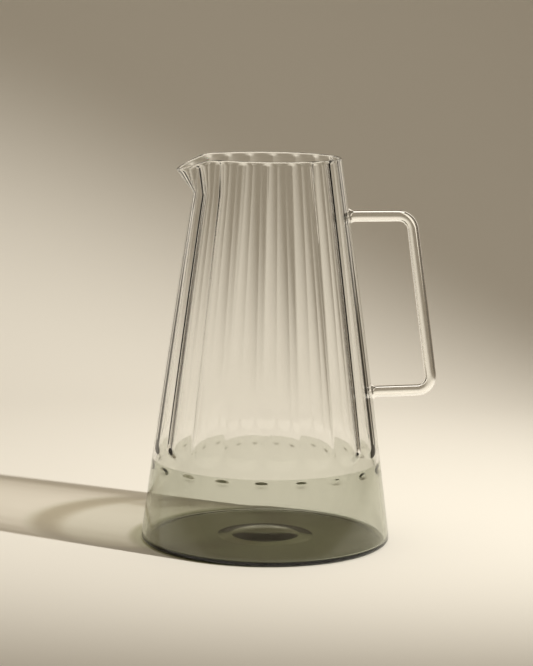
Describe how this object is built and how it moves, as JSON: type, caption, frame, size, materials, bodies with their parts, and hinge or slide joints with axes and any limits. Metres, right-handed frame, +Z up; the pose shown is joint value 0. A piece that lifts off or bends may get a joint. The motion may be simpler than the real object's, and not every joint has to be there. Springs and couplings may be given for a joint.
{
  "type": "glass water jug",
  "caption": "Clear fluted glass water jug with a pulled pouring lip, a smoke tinted base cup with a punt, and a bent glass rod handle.",
  "frame": {"origin": "centre of the foot ring, on the table", "axes": "+Z up along the jug's axis, +X through the handle, -X through the pouring lip"},
  "size_m": [0.1648, 0.1394, 0.215],
  "materials": {
    "clear_glass": "clear blown borosilicate glass, fire polished",
    "smoke_glass": "smoke grey-green borosilicate glass, tinted through its thickness",
    "rod_glass": "clear solid borosilicate rod, flame bent",
    "gather_glass": "clear borosilicate glass, flowed and fire polished"
  },
  "bodies": {
    "root": {"fluted_body": "clear_glass", "smoke_base": "smoke_glass", "handle_rod": "rod_glass", "upper_handle_gather": "gather_glass", "lower_handle_gather": "gather_glass"}
  },
  "joints": []
}
